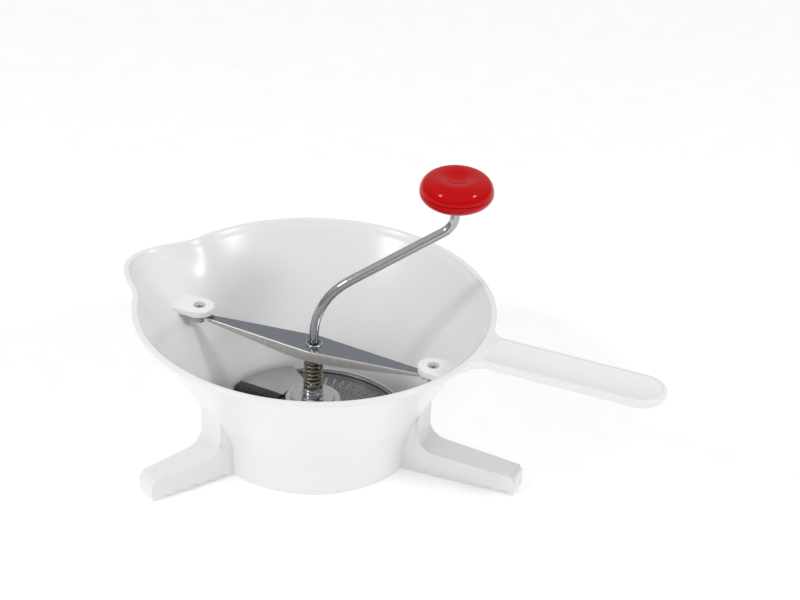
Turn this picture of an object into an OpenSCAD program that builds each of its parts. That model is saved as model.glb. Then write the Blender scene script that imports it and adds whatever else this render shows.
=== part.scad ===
// Rotary potato ricer (food mill): a moulded bowl with a pour spout, a paddle handle and three
// toothed pot arms, a sieve disc on a ledge, and a spring-loaded crank and blade held by a crossbar.
// Origin: centre of the drum's bottom ring, on the surface it stands on. +Z up, handle towards +X.

/* [Bowl] */
// Outer radius of the bowl at its rim
rim_r = 120; // [116:1:124]
// Height of the rim above the drum's bottom ring
rim_h = 102.5; // [100:0.5:106]
// Outer radius of the drum
drum_r = 72; // [71:0.5:74]
// Wall thickness of the moulding
wall = 2.2; // [1.8:0.1:2.6]
// How far the pour spout stands out past the rim
spout_out = 19.6; // [14:0.2:22]
// Height of the rolled lip under the rim
lip_h = 3.2; // [2.5:0.1:4]

/* [Handle] */
// Distance from the axis to the handle's tip
handle_tip = 241.3; // [225:0.5:250]
// Width of the handle
handle_w = 33.6; // [30:0.2:36]
// Thickness of the handle
handle_t = 5.6; // [5:0.1:7]

/* [Pot arms] */
// Reach of the arm under the handle
long_arm = 149.5; // [145:0.5:155]
// Reach of the other two arms
short_arm = 131.5; // [126:0.5:136]
// Height of the arms where they leave the drum
arm_h = 17.5; // [15:0.5:20]
// Distance between the teeth under the arms
tooth_pitch = 10.7; // [10:0.1:11]

/* [Crossbar] */
// Height of the crossbar's top face
bar_z = 72; // [71:0.5:73]
// Half the crossbar's width at its middle
bar_half = 11.3; // [10.5:0.1:12]
// Depth of the crossbar's side flanges at its middle
bar_flange = 7.6; // [6:0.1:9]
// Distance from the axis to the two lug screws
lug_r = 85.4; // [84:0.1:87]

/* [Crank] */
// Diameter of the crank rod
rod_d = 6.4; // [6:0.1:6.6]
// Radius of the crank, axis to knob axis
crank_r = 90; // [84:1:96]
// Direction of the crank seen from above, from the handle's direction
crank_az = 30; // [0:1:90]
// Slope of the crank's arm
crank_rise = 30; // [26:1:34]

/* [Knob] */
// Largest diameter of the knob
knob_d = 48.6; // [44:0.2:52]
// Height of the knob
knob_h = 21.1; // [19:0.1:23]

/* [Spring] */
// Outer diameter of the spring
spring_d = 13.4; // [12.6:0.1:14]
// Spring wire diameter
wire_d = 1.7; // [1.4:0.1:1.9]
// Number of coils
coils = 9; // [7:1:10]

/* [Sieve] */
// Radius of the sieve disc
sieve_r = 67.6; // [66.5:0.1:68]
// Number of radial slots
slots = 48; // [40:4:60]

/* [Hidden] */
$fn = 96;
eps = 0.01;
run_gap = 0.05;                       // radial running clearance on the rod
rod_r = rod_d / 2;
bore_r = rod_r + run_gap;

// Bowl wall: straight drum, a flare, then a long trumpet curve that leans out more towards the rim
flare_z = 12.4;
flare_r = 50;
flare_angle = 25;                     // slope from vertical where the two curves meet
lip_w = 2;
wall_top_r = rim_r - lip_w;
wall_bottom = [drum_r + flare_r * (1 - cos(flare_angle)), flare_z + flare_r * sin(flare_angle)];
// The trumpet curve is the arc from wall_bottom, at the flare's slope, to the wall's top at the rim
chord = [wall_top_r - wall_bottom[0], rim_h - wall_bottom[1]];
chord_angle = atan2(chord[0], chord[1]);
top_angle = 2 * chord_angle - flare_angle;
wall_arc_r = norm(chord) / (2 * sin((top_angle - flare_angle) / 2));
wall_hub = wall_bottom + wall_arc_r * [cos(flare_angle), -sin(flare_angle)];
ledge_z = 8;                          // top of the ledge that carries the sieve
ledge_in = 63.5;

// Pour spout
spout_half = 23;                      // half angle over which the spout fades out
spout_depth = 30;                     // how far down the wall the spout reaches
spout_sink = 0.6;                     // how far the spout's faded edges lie inside the wall

// Lugs that hold the crossbar
lug_top = 79.2;
lug_under = 74;
lug_w = 20.4;
lug_boss_r = 5.6;
lug_screw_r = 1.5;
recess_r = 4.2;
recess_z = 76;
screw_head_r = 3.1;
screw_head_h = 1.6;
lug_nut_top = bar_z - 2.6;
lug_nut_h = 2.6;
lug_nut_r = 3.6;

// Crossbar
sheet = 1.2;
bar_end = 78;                         // where the flanges run out
bar_end_half = 3;
bar_tip = 90.5;                       // end of the hooked tongue
hook_half = 6.4;
hook_slot_r = 2.2;
middle_r = 24;                        // rounding of the wide middle
weld_x = 35;
bush_r = 5.6;
bush_recess_r = 4.7;
bush_flange_r = 7.2;

// Shaft stack, from the top down
bar_under = bar_z - sheet;
stiff_under = bar_under - 1.15;
bush_under = stiff_under - 1.15;
washer_t = 0.8;
spring_top = bush_under - washer_t - 0.1;
collar_top = 38.3;
spring_bottom = collar_top + washer_t + 0.1;
hub_z = 29;                           // top of the blade's hub plate
flange_top = hub_z + 3;
flange_r = 15;
collar_r = 7;
pin_r = 1.2;
pin_z = 35.6;
blade_t = 1;
blade_r = 66.4;
hub_plate_r = 18.5;
blade_edge_z = 13.2;                  // top of the blade at its outer edge
blade_start = 127;                    // azimuth of each wing's trailing edge
washer_r = 8;
clip_r = 5.6;
groove_r = 2.6;
clip_z = hub_z - blade_t - washer_t - 1.08;
rod_bottom = 2.5;

// Fold of the blade: outer and inner ends of the crease, and how far the pusher face reaches
fold_out = [-63.7, 19.4];
fold_in = [-20.5, -4.5];
push_z = 9.8;                         // inner end of the pusher's lower edge, just over the sieve
push_out_z = 11.4;                    // its outer end, over the sieve's bead
push_reach_out = 9.5;
push_reach_in = 11;

// Sieve
sieve_t = 0.8;
sieve_z = ledge_z + 0.05;
bead_r = 65.4;
bead_h = 2.4;
slot_in = 48.5;
slot_out = 59.2;
slot_w = 1.7;
hole_r = 1.1;
hole_rings = [for (i = [0:3]) 21 + 7.5 * i];
hole_step = 7.8;                      // spacing of the holes along a ring

// Crank path
bend1_r = 44;
bend2_r = 14;
bend1_z = 81;
bend1_turn = 90 - crank_rise;
bend1_end = [bend1_r * (1 - cos(bend1_turn)), bend1_z + bend1_r * sin(bend1_turn)];
bend2_dx = bend2_r * (1 - sin(crank_rise));
bend2_dz = bend2_r * cos(crank_rise);
arm_run = (crank_r - bend2_dx - bend1_end[0]) / cos(crank_rise);
bend2_end_z = bend1_end[1] + arm_run * sin(crank_rise) + bend2_dz;
knob_z = bend2_end_z + 7.6;           // underside of the knob
rod_top = knob_z + 13.6;

// Knob: widest at the seam between base and cap
seam_z = knob_z + 0.49 * knob_h;
knob_r = knob_d / 2;
crest_r = 13.6;
dish = 3.4;
knob_wall = 2.2;
knob_top = knob_z + knob_h;
knob_gap = 0.15;                      // play between the knob and the washer and nut on the rod

// Points on an arc of radius r about c, from angle a0 to a1
function arc(c, r, a0, a1, n = 8) =
  [for (i = [0:n]) let (a = a0 + (a1 - a0) * i / n) [c[0] + r * cos(a), c[1] + r * sin(a)]];

// Bowl wall from the bottom ring to the rim, moved inwards by d along its normal
function bowl_wall(d) = concat(
  [[drum_r - d, 0]],
  arc([drum_r + flare_r, flare_z], flare_r + d, 180, 180 - flare_angle, 6),
  arc(wall_hub, wall_arc_r + d, 180 - flare_angle, 180 - top_angle, 10));

// Radius of the outer wall at height z on its trumpet curve
function wall_r(z) = wall_hub[0] - sqrt(pow(wall_arc_r, 2) - pow(z - wall_hub[1], 2));

// How far the spout pushes the wall out, at an angle a from its middle and a depth t below the rim
function spout_bulge(a, t) =
  let (s = cos(90 * a / spout_half), v = cos(90 * t / spout_depth)) spout_out * s * s * pow(v, 1.4);

// Solid wedge under the spout's skin, moved inwards by d, with its top at height top
module spout_solid(d, top, na = 18, nz = 7) {
  half = spout_half * 0.96;
  rings = [for (k = [0:nz]) spout_depth * (1 - k / nz) * 0.96];
  function ring(t, z) = [for (i = [0:na])
    let (a = half * (2 * i / na - 1), r = wall_r(rim_h - t) + spout_bulge(a, t) - spout_sink - d)
    [-r * cos(a), -r * sin(a), z]];
  skin = concat([for (t = rings) each ring(t, rim_h - t)], top > rim_h ? ring(0, top) : []);
  rows = top > rim_h ? nz + 2 : nz + 1;
  count = na + 1;
  core = [for (z = [rim_h - rings[0], top]) for (s = [-1, 1]) [-50 * cos(half), -50 * s * sin(half), z]];
  c = rows * count;
  sides = [for (k = [0:rows - 2]) for (i = [0:na - 1])
    let (p = k * count + i) each [[p, p + count + 1, p + 1], [p, p + count, p + count + 1]]];
  polyhedron(concat(skin, core), concat(sides,
    [[c + 1, c, for (i = [0:na]) i],
    [c + 2, c + 3, for (i = [na:-1:0]) (rows - 1) * count + i],
    [c, c + 2, for (k = [rows - 1:-1:0]) k * count],
    [c + 3, c + 1, for (k = [0:rows - 1]) k * count + na],
    [c + 1, c + 3, c + 2, c]]));
}

// Plan of the handle, with concave roots where it leaves the rim and a half-round tip
module handle_plan() {
  half = handle_w / 2;
  root_r = 12;
  root_x = sqrt(pow(rim_r + root_r, 2) - pow(half + root_r, 2));
  foot = [rim_r / (rim_r + root_r) * root_x, rim_r / (rim_r + root_r) * (half + root_r)];
  translate([rim_r - 20, -half]) square([handle_tip - half - rim_r + 20, handle_w]);
  translate([handle_tip - half, 0]) circle(half);
  difference() {
    polygon([[foot[0] - 16, -foot[1]], [foot[0], -foot[1]], [root_x, -half], [root_x, half],
      [foot[0], foot[1]], [foot[0] - 16, foot[1]]]);
    for (s = [-1, 1]) translate([root_x, s * (half + root_r)]) circle(root_r);
  }
}

// Side view of a pot arm, with the gusset that runs up to the flare and the teeth underneath
module arm_side(reach) {
  tip_h = 15;
  foot_z = 0.3;
  tooth_r = 4.9;
  tooth_depth = 2.4;
  teeth = floor((reach - 2 - 79) / tooth_pitch);
  difference() {
    polygon(concat(
      [[66, foot_z], [reach - 1, foot_z], [reach, foot_z + 1.2]],
      arc([reach - 6, tip_h - 6], 6, 0, 84, 6),
      arc([93.5, arm_h + 12], 12, 268, 180, 8),
      arc([93.5, 44], 12, 180, 150, 3),
      [[86, 58], [66, 58]]));
    for (i = [0:teeth])
      translate([79 + i * tooth_pitch, foot_z + tooth_depth - tooth_r]) circle(tooth_r, $fn = 48);
  }
}

// Pot arm along +X: the side view trimmed to the arm's tapered plan
module pot_arm(reach) {
  root = 10.8;
  tip = 8;
  intersection() {
    rotate([90, 0, 0]) linear_extrude(2 * root + 2, center = true) arm_side(reach);
    linear_extrude(60) polygon(concat([[66, -root], [80, -root]], arc([reach - 5, -tip + 5], 5, -90, 0, 5),
      arc([reach - 5, tip - 5], 5, 0, 90, 5), [[80, root], [66, root]]));
  }
}

// Lug for one end of the crossbar, along +X
module lug() {
  translate([0, 0, lug_under]) linear_extrude(lug_top - lug_under) {
    translate([lug_r, 0]) circle(lug_w / 2);
    polygon([[lug_r, -lug_w / 2], [lug_r + 26, -lug_w / 2 - 1.8], [lug_r + 26, lug_w / 2 + 1.8],
      [lug_r, lug_w / 2]]);
  }
  translate([lug_r, 0, bar_z + 0.1]) cylinder(r = lug_boss_r, h = lug_under - bar_z);
}

module bowl() {
  color("whitesmoke") difference() {
    union() {
      difference() {
        union() {
          rotate_extrude() polygon(concat([[0, 0], [drum_r - 1, 0], [drum_r, 1]],
            [for (i = [1:len(bowl_wall(0)) - 1]) bowl_wall(0)[i]], [[0, rim_h]]));
          translate([0, 0, rim_h - lip_h]) rotate_extrude()
            polygon(concat([[rim_r - 6, 0], [rim_r - 0.8, 0], [rim_r, 0.8]],
              arc([rim_r - 0.8, lip_h - 0.8], 0.8, 0, 90, 4), [[rim_r - 6, lip_h]]));
          spout_solid(0, rim_h);
          intersection() {
            spout_solid(-lip_w, rim_h);
            translate([-200, -100, rim_h - lip_h]) cube([200, 200, lip_h]);
          }
          translate([0, 0, rim_h - handle_t]) linear_extrude(handle_t) handle_plan();
          pot_arm(long_arm);
          for (a = [120, -120]) rotate([0, 0, a]) pot_arm(short_arm);
        }
        translate([0, 0, -eps]) rotate_extrude() polygon(concat([[0, 0]], bowl_wall(wall), [[0, rim_h + 3]]));
        spout_solid(wall, rim_h + 2);
      }
      intersection() {
        for (a = [0, 180]) rotate([0, 0, a]) lug();
        union() {
          rotate_extrude() polygon(concat([[0, 0]], bowl_wall(wall / 2), [[0, rim_h]]));
          spout_solid(wall / 2, rim_h);
        }
      }
      rotate_extrude() polygon([[ledge_in, ledge_z], [drum_r - wall / 2, ledge_z], [drum_r - wall / 2, 2],
        [drum_r - wall, 2], [ledge_in, ledge_z - 2]]);
    }
    for (s = [-1, 1]) translate([s * lug_r, 0, 0]) {
      translate([0, 0, bar_z - 1]) cylinder(r = lug_screw_r, h = 20, $fn = 48);
      translate([0, 0, recess_z]) cylinder(r = recess_r, h = 10);
    }
  }
}

// Perforated middle of the disc: radial slots round rings of fine holes
module sieve_plan() {
  difference() {
    circle(slot_out + 1.2);
    circle(bore_r + 1);
    for (i = [0:slots - 1]) rotate(i * 360 / slots) translate([slot_in, -slot_w / 2])
      square([slot_out - slot_in, slot_w]);
    for (r = hole_rings) for (i = [0:floor(2 * PI * r / hole_step) - 1])
      rotate(i * 360 / floor(2 * PI * r / hole_step)) translate([r, 0]) circle(hole_r, $fn = 6);
  }
}

// Disc pressed from sheet: a bead round the edge, a fine step, and a drawn collar at the rod
module sieve_disc() {
  top = sieve_z + sieve_t;
  color("silver") {
    translate([0, 0, sieve_z + 0.02]) linear_extrude(sieve_t - 0.04) sieve_plan();
    rotate_extrude() polygon(concat(
      [[slot_out + 0.6, sieve_z], [bead_r - bead_h, sieve_z]],
      arc([bead_r, sieve_z], bead_h - sieve_t, 180, 0, 8),
      [[sieve_r, sieve_z], [sieve_r, top]],
      arc([bead_r, top - 0.1], bead_h - 0.5, 0, 180, 8),
      [[slot_out + 2, top], [slot_out + 1.4, top + 0.5], [slot_out + 0.6, top]]));
    rotate_extrude() polygon([[bore_r, sieve_z], [bore_r + 2.4, sieve_z], [bore_r + 2.4, top],
      [bore_r + 1.4, top], [bore_r + 1, top + 1.6], [bore_r, top + 1.6]]);
  }
}

// Pan-head screw with a cross recess, its shank going down through the lug
module lug_screw() {
  color("lightgray") difference() {
    union() {
      translate([0, 0, recess_z]) rotate_extrude() polygon(concat([[0, 0], [screw_head_r, 0]],
        arc([screw_head_r - 0.8, screw_head_h - 0.8], 0.8, 0, 90, 4), [[0, screw_head_h]]));
      translate([0, 0, lug_nut_top - lug_nut_h - 1]) cylinder(r = lug_screw_r, h = recess_z - lug_nut_top + 4);
    }
    for (a = [0, 90]) rotate([0, 0, a]) translate([-1.9, -0.35, recess_z + 0.5]) cube([3.8, 0.7, 3]);
  }
}

module left_lug_screw() { translate([-lug_r, 0, 0]) rotate([0, 0, 25]) lug_screw(); }
module right_lug_screw() { translate([lug_r, 0, 0]) rotate([0, 0, 70]) lug_screw(); }

// Hexagon nut that keeps the crossbar's hook on the screw
module lug_nut() {
  color("lightgray") difference() {
    translate([0, 0, lug_nut_top - lug_nut_h]) cylinder(r = lug_nut_r, h = lug_nut_h, $fn = 6);
    translate([0, 0, lug_nut_top - 9]) cylinder(r = lug_screw_r, h = 20, $fn = 48);
  }
}

module left_lug_nut() { translate([-lug_r, 0, 0]) lug_nut(); }
module right_lug_nut() { translate([lug_r, 0, 0]) lug_nut(); }

// Plan of the crossbar without its hooks, taken in by d: straight tapers with a rounded middle
module bar_plan(d) {
  slope = atan2(bar_half - bar_end_half, bar_end);
  crown = bar_half - d - (middle_r - middle_r * cos(slope));
  side = concat([[-bar_end, bar_end_half - d]],
    arc([0, bar_half - d - middle_r], middle_r, 90 + slope, 90 - slope, 6),
    [[bar_end, bar_end_half - d]]);
  assert(crown > 0, "the crossbar's middle is too narrow");
  polygon(concat(side, [for (i = [len(side) - 1:-1:0]) [side[i][0], -side[i][1]]]));
}

// Hooked tongue at the crossbar's +X end; its slot is open towards -Y
module bar_hook() {
  difference() {
    linear_extrude(sheet) {
      translate([bar_end - 4, -bar_end_half]) square([bar_tip - bar_end, 2 * bar_end_half]);
      translate([lug_r - 5.2, -hook_half]) square([bar_tip - lug_r + 5.2, 2 * hook_half]);
    }
    translate([lug_r, 0, -1]) cylinder(r = hook_slot_r, h = 4);
    translate([lug_r - hook_slot_r, -hook_half - 1, -1]) cube([2 * hook_slot_r, hook_half + 1, 4]);
  }
}

module crossbar() {
  low = bar_z - bar_flange;
  color("slategray") difference() {
    union() {
      intersection() {
        difference() {
          translate([0, 0, low]) linear_extrude(bar_flange) bar_plan(0);
          translate([0, 0, low - 1]) linear_extrude(bar_flange + 1 - sheet) bar_plan(sheet);
        }
        rotate([90, 0, 0]) linear_extrude(40, center = true) polygon([[-bar_end, bar_z], [bar_end, bar_z],
          [bar_end, bar_z - 2.4], [18, low], [-18, low], [-bar_end, bar_z - 2.4]]);
      }
      for (a = [0, 180]) rotate([0, 0, a]) translate([0, 0, bar_z - sheet]) bar_hook();
    }
    translate([0, 0, low]) cylinder(r = bush_r, h = 20);
    for (s = [-1, 1]) translate([s * weld_x, 0, bar_z - 0.3]) cylinder(r = 2.2, h = 2);
  }
}

module crossbar_stiffener() {
  color("gray") difference() {
    translate([0, 0, stiff_under]) linear_extrude(bar_under - stiff_under - 0.02) intersection() {
      bar_plan(sheet + 0.4);
      square([92, 40], center = true);
    }
    translate([0, 0, stiff_under - 1]) cylinder(r = bush_r, h = 20);
  }
}

// Flanged bush that guides the rod through the crossbar
module shaft_bush() {
  color("silver") rotate_extrude() polygon([[bore_r, bush_under], [bush_flange_r, bush_under],
    [bush_flange_r, stiff_under - 0.02], [bush_r, stiff_under - 0.02], [bush_r, bar_z + 0.7],
    [bush_r - 0.4, bar_z + 1.1], [bush_recess_r, bar_z + 1.1], [bush_recess_r, bar_z - 0.6],
    [bore_r, bar_z - 0.6]]);
}

// Flat washer on the rod
module rod_washer(z, r, bore, t) {
  color("silver") translate([0, 0, z]) difference() {
    cylinder(r = r, h = t);
    translate([0, 0, -1]) cylinder(r = bore, h = t + 2);
  }
}

module upper_spring_washer() { rod_washer(spring_top + 0.05, collar_r, bore_r, washer_t); }
module lower_spring_washer() { rod_washer(collar_top + 0.05, collar_r, bore_r, washer_t); }

// Compression spring: one tube swept along a helix between the two washers
module spring() {
  sides = 8;
  per_turn = 20;
  steps = coils * per_turn;
  r = (spring_d - wire_d) / 2;
  low = spring_bottom + wire_d / 2;
  rise = spring_top - spring_bottom - wire_d;
  pitch_angle = atan(rise / coils / (2 * PI * r));
  points = [for (i = [0:steps]) for (j = [0:sides - 1])
    let (a = 360 * i / per_turn, b = 360 * j / sides, u = wire_d / 2 * cos(b), v = wire_d / 2 * sin(b))
    [(r + u) * cos(a) + v * sin(pitch_angle) * sin(a), (r + u) * sin(a) - v * sin(pitch_angle) * cos(a),
      low + rise * i / steps + v * cos(pitch_angle)]];
  faces = concat([[for (j = [sides - 1:-1:0]) j]],
    [for (i = [0:steps - 1]) for (j = [0:sides - 1])
      [i * sides + j, i * sides + (j + 1) % sides, (i + 1) * sides + (j + 1) % sides, (i + 1) * sides + j]],
    [[for (j = [0:sides - 1]) steps * sides + j]]);
  color("dimgray") polyhedron(points, faces);
}

// Bent crank rod in its own plane, turned to its direction; the straight lengths run into the bends
module crank_rod() {
  into = 0.6;
  bend_rod_r = rod_r + 0.03;
  color("silver") difference() {
    rotate([0, 0, crank_az]) {
      translate([0, 0, rod_bottom]) rotate_extrude() polygon([[0, 0], [rod_r - 0.6, 0], [rod_r, 0.6],
        [rod_r, bend1_z - rod_bottom + into], [0, bend1_z - rod_bottom + into]]);
      translate([bend1_r, 0, bend1_z]) rotate([90, 0, 180]) rotate_extrude(angle = bend1_turn)
        translate([bend1_r, 0]) circle(bend_rod_r);
      translate([bend1_end[0], 0, bend1_end[1]]) rotate([0, 90 - crank_rise, 0]) translate([0, 0, -into])
        cylinder(r = rod_r, h = arm_run + 2 * into);
      translate([crank_r - bend2_r, 0, bend2_end_z]) rotate([90, bend1_turn, 0])
        rotate_extrude(angle = bend1_turn) translate([bend2_r, 0]) circle(bend_rod_r);
      translate([crank_r, 0, bend2_end_z - into]) cylinder(r = rod_r, h = rod_top - bend2_end_z + into);
    }
    translate([0, 0, clip_z - 0.05]) difference() {
      cylinder(r = rod_r + 1, h = 1.1);
      translate([0, 0, -1]) cylinder(r = groove_r, h = 4);
    }
    hub_pin_bore();
  }
}

// Hole for the cross pin, through the collar and the rod
module hub_pin_bore() {
  rotate([0, 0, 30]) translate([-10, 0, pin_z]) rotate([0, 90, 0]) cylinder(r = pin_r, h = 20, $fn = 48);
}

// Turned collar with a ring groove, pinned to the rod
module hub_collar() {
  color("silver") difference() {
    rotate_extrude() polygon([[rod_r, flange_top + 0.02], [collar_r - 0.5, flange_top + 0.02],
      [collar_r, flange_top + 0.5], [collar_r, flange_top + 1.4], [collar_r - 0.7, flange_top + 1.7],
      [collar_r - 0.7, flange_top + 2.2], [collar_r, flange_top + 2.5], [collar_r, collar_top - 0.6],
      [collar_r - 0.6, collar_top], [rod_r, collar_top]]);
    hub_pin_bore();
  }
}

module hub_pin() {
  color("gray") rotate([0, 0, 30]) translate([-collar_r + 0.1, 0, pin_z]) rotate([0, 90, 0])
    cylinder(r = pin_r, h = 2 * collar_r - 0.2, $fn = 48);
}

// Domed flange that clamps the blade's hub plate
module hub_flange() {
  color("silver") rotate_extrude() polygon(concat([[rod_r, hub_z + 0.02], [flange_r, hub_z + 0.02]],
    arc([flange_r - 1.6, hub_z + 1.1], 1.6, 0, 90, 5),
    [[11, flange_top - 0.4], [8.5, flange_top - 0.7], [collar_r + 0.4, flange_top], [rod_r, flange_top]]));
}

// Plan of one wing's plate, from its trailing edge to the crease; the sheet's own edge limits it outside
module wing_plan() {
  push = fold_in - fold_out;
  polygon([[0, 0], [90 * cos(blade_start), 90 * sin(blade_start)], fold_out - push, fold_in]);
}

// Pusher face of one wing: from the crease down to the sieve, turned in at both ends
module pusher() {
  push = fold_in - fold_out;
  along = push / norm(push);
  n = [along[1], -along[0]];
  slope = (hub_z - blade_edge_z) / (blade_r - hub_plate_r);
  drop = 0.15;
  zo = hub_z - slope * (norm(fold_out) - hub_plate_r) - drop;
  zi = hub_z - slope * (norm(fold_in) - hub_plate_r) - drop;
  c = fold_in + n * push_reach_in - along * 3;
  d = fold_out + n * push_reach_out + along * 4;
  back = -1.1 * n;
  function at(p, z, q = [0, 0]) = [p[0] + q[0], p[1] + q[1], z];
  polyhedron([at(fold_out, zo), at(fold_in, zi), at(c, push_z), at(d, push_out_z),
    at(fold_out, zo - 1.2, back), at(fold_in, zi - 1.2, back), at(c, push_z, back), at(d, push_out_z, back)],
    [[0, 1, 2], [0, 2, 3], [4, 6, 5], [4, 7, 6], [0, 4, 1], [1, 4, 5], [1, 5, 2], [2, 5, 6],
      [2, 6, 3], [3, 6, 7], [3, 7, 0], [0, 7, 4]]);
}

// Two wings on one hub plate, all from one sheet
module blade() {
  color("silver") difference() {
    union() {
      intersection() {
        rotate_extrude() polygon([[0, hub_z], [hub_plate_r, hub_z], [blade_r, blade_edge_z],
          [blade_r, blade_edge_z - blade_t], [hub_plate_r, hub_z - blade_t], [0, hub_z - blade_t]]);
        linear_extrude(40) {
          circle(hub_plate_r - 0.2);
          for (a = [0, 180]) rotate(a) wing_plan();
        }
      }
      for (a = [0, 180]) rotate([0, 0, a]) pusher();
    }
    translate([0, 0, hub_z - 5]) cylinder(r = rod_r, h = 10);
  }
}

module blade_washer() { rod_washer(hub_z - blade_t - washer_t - 0.02, washer_r, rod_r, washer_t); }

// Open ring snapped into the rod's groove
module retaining_clip() {
  color("gray") translate([0, 0, clip_z]) difference() {
    cylinder(r = clip_r, h = 1);
    translate([0, 0, -1]) cylinder(r = groove_r + 0.02, h = 3);
    translate([0, -1.8, -1]) cube([10, 3.6, 3]);
  }
}

// Places a piece of the knob on the crank's free end
module at_knob() { rotate([0, 0, crank_az]) translate([crank_r, 0, 0]) children(); }

module knob_washer() { at_knob() rod_washer(knob_z - washer_t - knob_gap, 4.8, rod_r, washer_t); }
module knob_push_nut() { at_knob() rod_washer(seam_z + 1.4 + knob_gap, 5.2, rod_r, 0.9); }

// Lower half of the knob, with the bored boss that turns on the rod
module knob_base() {
  foot = 9;
  color("firebrick") at_knob() rotate_extrude() polygon(concat(
    [[bore_r, knob_z], [foot, knob_z]],
    [for (i = [1:8]) let (t = 90 * i / 8)
      [foot + (knob_r - foot) * sin(t), seam_z - (seam_z - knob_z) * cos(t)]],
    [[knob_r - knob_wall, seam_z]],
    [for (i = [7:-1:1]) let (t = 90 * i / 8) [foot + (knob_r - knob_wall - foot) * sin(t),
      seam_z - (seam_z - knob_z - knob_wall) * cos(t)]],
    [[bore_r + 2.6, knob_z + knob_wall], [bore_r + 2.6, seam_z + 1.4], [bore_r, seam_z + 1.4]]));
}

// Upper half of the knob, with a dished top
module knob_cap() {
  rise = knob_top - seam_z;
  function crown(r, d) = knob_top - d - dish * (1 + cos(180 * r / crest_r)) / 2;
  color("red") at_knob() rotate_extrude() polygon(concat(
    [[knob_r, seam_z + 0.02]],
    [for (i = [1:8]) let (t = 90 * i / 8) [crest_r + (knob_r - crest_r) * cos(t), seam_z + rise * sin(t)]],
    [for (i = [1:8]) [crest_r * (1 - i / 8), crown(crest_r * (1 - i / 8), 0)]],
    [for (i = [8:-1:1]) [crest_r * (1 - i / 8), crown(crest_r * (1 - i / 8), knob_wall)]],
    [for (i = [8:-1:1]) let (t = 90 * i / 8)
      [crest_r + (knob_r - knob_wall - crest_r) * cos(t), seam_z + (rise - knob_wall) * sin(t)]],
    [[knob_r - knob_wall, seam_z + 0.02]]));
}

bowl();
sieve_disc();
left_lug_screw();
right_lug_screw();
left_lug_nut();
right_lug_nut();
crossbar();
crossbar_stiffener();
shaft_bush();
upper_spring_washer();
spring();
lower_spring_washer();
crank_rod();
hub_collar();
hub_pin();
hub_flange();
blade();
blade_washer();
retaining_clip();
knob_washer();
knob_push_nut();
knob_base();
knob_cap();
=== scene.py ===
"""Looks of a hand-cranked potato ricer: moulded bowl, sieve, sprung blade, crossbar, crank and knob."""
import logging
import math
from dataclasses import dataclass
from enum import Enum
from typing import Sequence

import bmesh
import bpy
from mathutils import Matrix, Vector


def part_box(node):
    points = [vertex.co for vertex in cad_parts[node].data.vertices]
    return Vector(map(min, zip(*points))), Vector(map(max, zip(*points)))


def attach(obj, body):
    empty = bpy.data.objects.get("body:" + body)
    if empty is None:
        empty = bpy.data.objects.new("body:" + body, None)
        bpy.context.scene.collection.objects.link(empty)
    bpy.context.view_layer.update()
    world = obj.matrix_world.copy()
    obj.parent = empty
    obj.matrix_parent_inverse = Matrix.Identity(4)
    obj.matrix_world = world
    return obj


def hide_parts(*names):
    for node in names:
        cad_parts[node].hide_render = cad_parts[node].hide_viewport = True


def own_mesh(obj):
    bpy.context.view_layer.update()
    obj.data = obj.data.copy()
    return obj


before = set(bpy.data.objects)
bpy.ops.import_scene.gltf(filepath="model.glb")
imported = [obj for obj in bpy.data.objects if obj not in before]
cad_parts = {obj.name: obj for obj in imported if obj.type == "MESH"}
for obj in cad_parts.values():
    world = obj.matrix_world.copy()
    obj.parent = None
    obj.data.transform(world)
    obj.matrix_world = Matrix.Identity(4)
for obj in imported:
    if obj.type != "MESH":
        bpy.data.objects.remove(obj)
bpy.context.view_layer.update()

BMesh = bmesh.types.BMesh
MM = 0.001
Point2 = tuple[float, float]
log = logging.getLogger("potato_ricer")


# ---------------------------------------------------------------- helpers


def linear(hex_colour: str) -> tuple[float, float, float, float]:
    """Turns an sRGB hex colour to linear.

    Args:
        hex_colour: Six hex digits.

    Returns:
        Linear red, green, blue and an alpha of 1.
    """
    parts = [int(hex_colour[i:i + 2], 16) / 255 for i in (0, 2, 4)]
    red, green, blue = (c / 12.92 if c <= 0.04045 else ((c + 0.055) / 1.055) ** 2.4 for c in parts)
    return red, green, blue, 1.0


def arc(centre: Point2, radius: float, start: float, end: float, steps: int = 8) -> list[Point2]:
    """Points on an arc.

    Args:
        centre: Centre of the arc.
        radius: Its radius.
        start: First angle in degrees.
        end: Last angle in degrees.
        steps: Number of spans.

    Returns:
        The points, both ends among them.
    """
    angles = [math.radians(start + (end - start) * i / steps) for i in range(steps + 1)]
    return [(centre[0] + radius * math.cos(a), centre[1] + radius * math.sin(a)) for a in angles]


def lathe(bm: BMesh, profile: Sequence[Point2], steps: int = 96, closed: bool = True,
          centre: Point2 = (0, 0)) -> None:
    """Spins an outline about an upright axis.

    Args:
        bm: Mesh to add to.
        profile: Radius and height of each point, in millimetres.
        steps: Spans round the axis.
        closed: Whether the outline's last point joins its first.
        centre: X and Y of the axis, in millimetres.
    """
    cx, cy = centre[0] * MM, centre[1] * MM
    verts = [bm.verts.new((cx + r * MM, cy, z * MM)) for r, z in profile]
    pairs = list(zip(verts, verts[1:])) + ([(verts[-1], verts[0])] if closed else [])
    edges = [bm.edges.new(pair) for pair in pairs]
    bmesh.ops.spin(bm, geom=verts + edges, cent=(cx, cy, 0), axis=(0, 0, 1), angle=math.tau,
                   steps=steps, use_merge=True)
    bmesh.ops.remove_doubles(bm, verts=bm.verts, dist=1e-7)


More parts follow.
